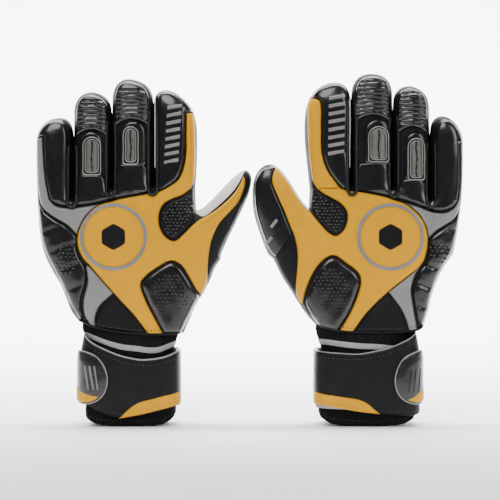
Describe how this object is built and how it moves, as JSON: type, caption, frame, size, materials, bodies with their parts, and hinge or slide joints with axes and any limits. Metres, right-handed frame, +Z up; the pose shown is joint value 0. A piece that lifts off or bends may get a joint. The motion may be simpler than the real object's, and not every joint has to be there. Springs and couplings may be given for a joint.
{
  "type": "pair of goalkeeper gloves",
  "caption": "Pair of padded goalkeeper gloves with latex palms, overlaid backs, bending finger stalls and thumbs, and wrist straps with a peel-open closure tab.",
  "frame": {"origin": "on the resting surface, at the centre of the pair's footprint box", "axes": "+Z up along the fingers, -Y out of the backs of the hands, +Y out of the palms, left glove at -X and right glove at +X"},
  "size_m": [0.351, 0.0506, 0.29],
  "materials": {
    "black_pu": "semi-gloss grained polyurethane",
    "gloss_pu": "glossy padded polyurethane",
    "yellow_pu": "satin grained polyurethane",
    "grey_pu": "satin polyurethane",
    "latex": "matt latex foam",
    "stretch_mesh": "matt stretch mesh",
    "elastic": "matt ribbed elastic",
    "silver_trim": "satin silver trim",
    "silver_satin": "satin silver cloth",
    "loop_fabric": "matt loop pile"
  },
  "bodies": {
    "left_hand": {"left_backhand": "black_pu", "left_palm_foam": "latex", "left_hand_gussets": "stretch_mesh", "left_star_overlay": "yellow_pu", "left_flank_overlay": "grey_pu", "left_knuckle_panel": "gloss_pu", "left_badge_ring": "silver_trim", "left_badge_emblem": "black_pu", "left_grip_pads": "black_pu", "left_wrist_elastic": "elastic", "left_wrist_stripe": "silver_trim", "left_wrist_strap": "black_pu", "left_strap_trim": "yellow_pu", "left_strap_piping": "silver_trim", "left_loop_patch": "loop_fabric", "left_cuff": "elastic"},
    "left_index_base": {"left_index_lower": "gloss_pu"},
    "left_index_tip": {"left_index_upper": "gloss_pu"},
    "left_middle_base": {"left_middle_lower": "gloss_pu", "left_middle_window": "silver_satin"},
    "left_middle_tip": {"left_middle_upper": "gloss_pu"},
    "left_ring_base": {"left_ring_lower": "gloss_pu", "left_ring_window": "silver_satin"},
    "left_ring_tip": {"left_ring_upper": "gloss_pu"},
    "left_little_base": {"left_little_lower": "gloss_pu"},
    "left_little_tip": {"left_little_upper": "gloss_pu"},
    "left_thumb_base": {"left_thumb_lower": "black_pu"},
    "left_thumb_tip": {"left_thumb_upper": "black_pu"},
    "left_tab": {"left_strap_tab": "gloss_pu", "left_tab_trim": "silver_trim"},
    "right_hand": {"right_backhand": "black_pu", "right_palm_foam": "latex", "right_hand_gussets": "stretch_mesh", "right_star_overlay": "yellow_pu", "right_flank_overlay": "grey_pu", "right_knuckle_panel": "gloss_pu", "right_badge_ring": "silver_trim", "right_badge_emblem": "black_pu", "right_grip_pads": "black_pu", "right_wrist_elastic": "elastic", "right_wrist_stripe": "silver_trim", "right_wrist_strap": "black_pu", "right_strap_trim": "yellow_pu", "right_strap_piping": "silver_trim", "right_loop_patch": "loop_fabric", "right_cuff": "elastic"},
    "right_index_base": {"right_index_lower": "gloss_pu"},
    "right_index_tip": {"right_index_upper": "gloss_pu"},
    "right_middle_base": {"right_middle_lower": "gloss_pu", "right_middle_window": "silver_satin"},
    "right_middle_tip": {"right_middle_upper": "gloss_pu"},
    "right_ring_base": {"right_ring_lower": "gloss_pu", "right_ring_window": "silver_satin"},
    "right_ring_tip": {"right_ring_upper": "gloss_pu"},
    "right_little_base": {"right_little_lower": "gloss_pu"},
    "right_little_tip": {"right_little_upper": "gloss_pu"},
    "right_thumb_base": {"right_thumb_lower": "black_pu"},
    "right_thumb_tip": {"right_thumb_upper": "black_pu"},
    "right_tab": {"right_strap_tab": "gloss_pu", "right_tab_trim": "silver_trim"}
  },
  "joints": [
    {"name": "left_index_knuckle", "type": "hinge", "parent": "left_hand", "child": "left_index_base", "pos_m": [-0.064, 0.006, 0.203], "axis": [-1, 0, 0], "range_deg": [0, 75], "stiffness_Nm_per_rad": 0.05},
    {"name": "left_index_bend", "type": "hinge", "parent": "left_index_base", "child": "left_index_tip", "pos_m": [-0.064, 0.006, 0.245], "axis": [-1, 0, 0], "range_deg": [0, 85], "stiffness_Nm_per_rad": 0.05},
    {"name": "left_middle_knuckle", "type": "hinge", "parent": "left_hand", "child": "left_middle_base", "pos_m": [-0.09825, 0.006, 0.202], "axis": [-1, 0, 0], "range_deg": [0, 75], "stiffness_Nm_per_rad": 0.05},
    {"name": "left_middle_bend", "type": "hinge", "parent": "left_middle_base", "child": "left_middle_tip", "pos_m": [-0.09825, 0.006, 0.252], "axis": [-1, 0, 0], "range_deg": [0, 85], "stiffness_Nm_per_rad": 0.05},
    {"name": "left_ring_knuckle", "type": "hinge", "parent": "left_hand", "child": "left_ring_base", "pos_m": [-0.13125, 0.006, 0.198], "axis": [-1, 0, 0], "range_deg": [0, 75], "stiffness_Nm_per_rad": 0.05},
    {"name": "left_ring_bend", "type": "hinge", "parent": "left_ring_base", "child": "left_ring_tip", "pos_m": [-0.13125, 0.006, 0.243], "axis": [-1, 0, 0], "range_deg": [0, 85], "stiffness_Nm_per_rad": 0.05},
    {"name": "left_little_knuckle", "type": "hinge", "parent": "left_hand", "child": "left_little_base", "pos_m": [-0.1615, 0.006, 0.193], "axis": [-1, 0, 0], "range_deg": [0, 75], "stiffness_Nm_per_rad": 0.05},
    {"name": "left_little_bend", "type": "hinge", "parent": "left_little_base", "child": "left_little_tip", "pos_m": [-0.1615, 0.006, 0.226], "axis": [-1, 0, 0], "range_deg": [0, 85], "stiffness_Nm_per_rad": 0.05},
    {"name": "left_thumb_knuckle", "type": "hinge", "parent": "left_hand", "child": "left_thumb_base", "pos_m": [-0.036, 0.006, 0.157], "axis": [-0.6459, 0, 0.7634], "range_deg": [0, 55], "stiffness_Nm_per_rad": 0.05},
    {"name": "left_thumb_bend", "type": "hinge", "parent": "left_thumb_base", "child": "left_thumb_tip", "pos_m": [-0.01925, 0.006, 0.1855], "axis": [-0.908, 0, 0.4191], "range_deg": [0, 55], "stiffness_Nm_per_rad": 0.05},
    {"name": "left_tab_peel", "type": "hinge", "parent": "left_hand", "child": "left_tab", "pos_m": [-0.1453, -0.0017, 0.038], "axis": [0, 0, -1], "range_deg": [0, 110]},
    {"name": "right_index_knuckle", "type": "hinge", "parent": "right_hand", "child": "right_index_base", "pos_m": [0.063, 0.006, 0.203], "axis": [-1, 0, 0], "range_deg": [0, 75], "stiffness_Nm_per_rad": 0.05},
    {"name": "right_index_bend", "type": "hinge", "parent": "right_index_base", "child": "right_index_tip", "pos_m": [0.063, 0.006, 0.245], "axis": [-1, 0, 0], "range_deg": [0, 85], "stiffness_Nm_per_rad": 0.05},
    {"name": "right_middle_knuckle", "type": "hinge", "parent": "right_hand", "child": "right_middle_base", "pos_m": [0.0975, 0.006, 0.202], "axis": [-1, 0, 0], "range_deg": [0, 75], "stiffness_Nm_per_rad": 0.05},
    {"name": "right_middle_bend", "type": "hinge", "parent": "right_middle_base", "child": "right_middle_tip", "pos_m": [0.0975, 0.006, 0.252], "axis": [-1, 0, 0], "range_deg": [0, 85], "stiffness_Nm_per_rad": 0.05},
    {"name": "right_ring_knuckle", "type": "hinge", "parent": "right_hand", "child": "right_ring_base", "pos_m": [0.13075, 0.006, 0.198], "axis": [-1, 0, 0], "range_deg": [0, 75], "stiffness_Nm_per_rad": 0.05},
    {"name": "right_ring_bend", "type": "hinge", "parent": "right_ring_base", "child": "right_ring_tip", "pos_m": [0.13075, 0.006, 0.243], "axis": [-1, 0, 0], "range_deg": [0, 85], "stiffness_Nm_per_rad": 0.05},
    {"name": "right_little_knuckle", "type": "hinge", "parent": "right_hand", "child": "right_little_base", "pos_m": [0.16125, 0.006, 0.193], "axis": [-1, 0, 0], "range_deg": [0, 75], "stiffness_Nm_per_rad": 0.05},
    {"name": "right_little_bend", "type": "hinge", "parent": "right_little_base", "child": "right_little_tip", "pos_m": [0.16125, 0.006, 0.226], "axis": [-1, 0, 0], "range_deg": [0, 85], "stiffness_Nm_per_rad": 0.05},
    {"name": "right_thumb_knuckle", "type": "hinge", "parent": "right_hand", "child": "right_thumb_base", "pos_m": [0.0305, 0.006, 0.157], "axis": [-0.8027, 0, -0.5963], "range_deg": [0, 55], "stiffness_Nm_per_rad": 0.05},
    {"name": "right_thumb_bend", "type": "hinge", "parent": "right_thumb_base", "child": "right_thumb_tip", "pos_m": [0.01875, 0.006, 0.186], "axis": [-0.9582, 0, -0.286], "range_deg": [0, 55], "stiffness_Nm_per_rad": 0.05},
    {"name": "right_tab_peel", "type": "hinge", "parent": "right_hand", "child": "right_tab", "pos_m": [0.1423, -0.0017, 0.038], "axis": [0, 0, 1], "range_deg": [0, 110]},
    {"name": "pair_spread", "type": "slide", "parent": "left_hand", "child": "right_hand", "axis": [1, 0, 0], "range_m": [0, 0.12]}
  ]
}
